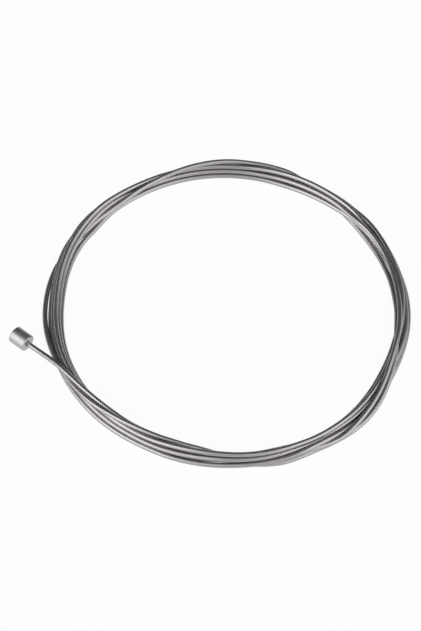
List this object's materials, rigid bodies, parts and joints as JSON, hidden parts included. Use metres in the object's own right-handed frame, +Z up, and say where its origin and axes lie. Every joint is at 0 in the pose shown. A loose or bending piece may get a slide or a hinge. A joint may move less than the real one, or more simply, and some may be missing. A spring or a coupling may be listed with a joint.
{
  "type": "shift cable",
  "caption": "Inner shift cable for a bicycle: a thin twisted steel strand wound into a flat open coil, with a small barrel head on its end.",
  "frame": {"origin": "on the surface that the coil and the head lie on, under the middle of the part's box", "axes": "+Z up, along the coil's axis; +X across the coil, away from the side where the head lies; +Y across the coil"},
  "size_m": [0.0918, 0.0848, 0.0041],
  "materials": {
    "steel_strand": "bright drawn stainless wire, lightly oiled",
    "plated_head": "satin bright plating"
  },
  "bodies": {
    "root": {"barrel_head": "plated_head", "lead_wire": "steel_strand", "coil": "steel_strand"}
  },
  "joints": []
}
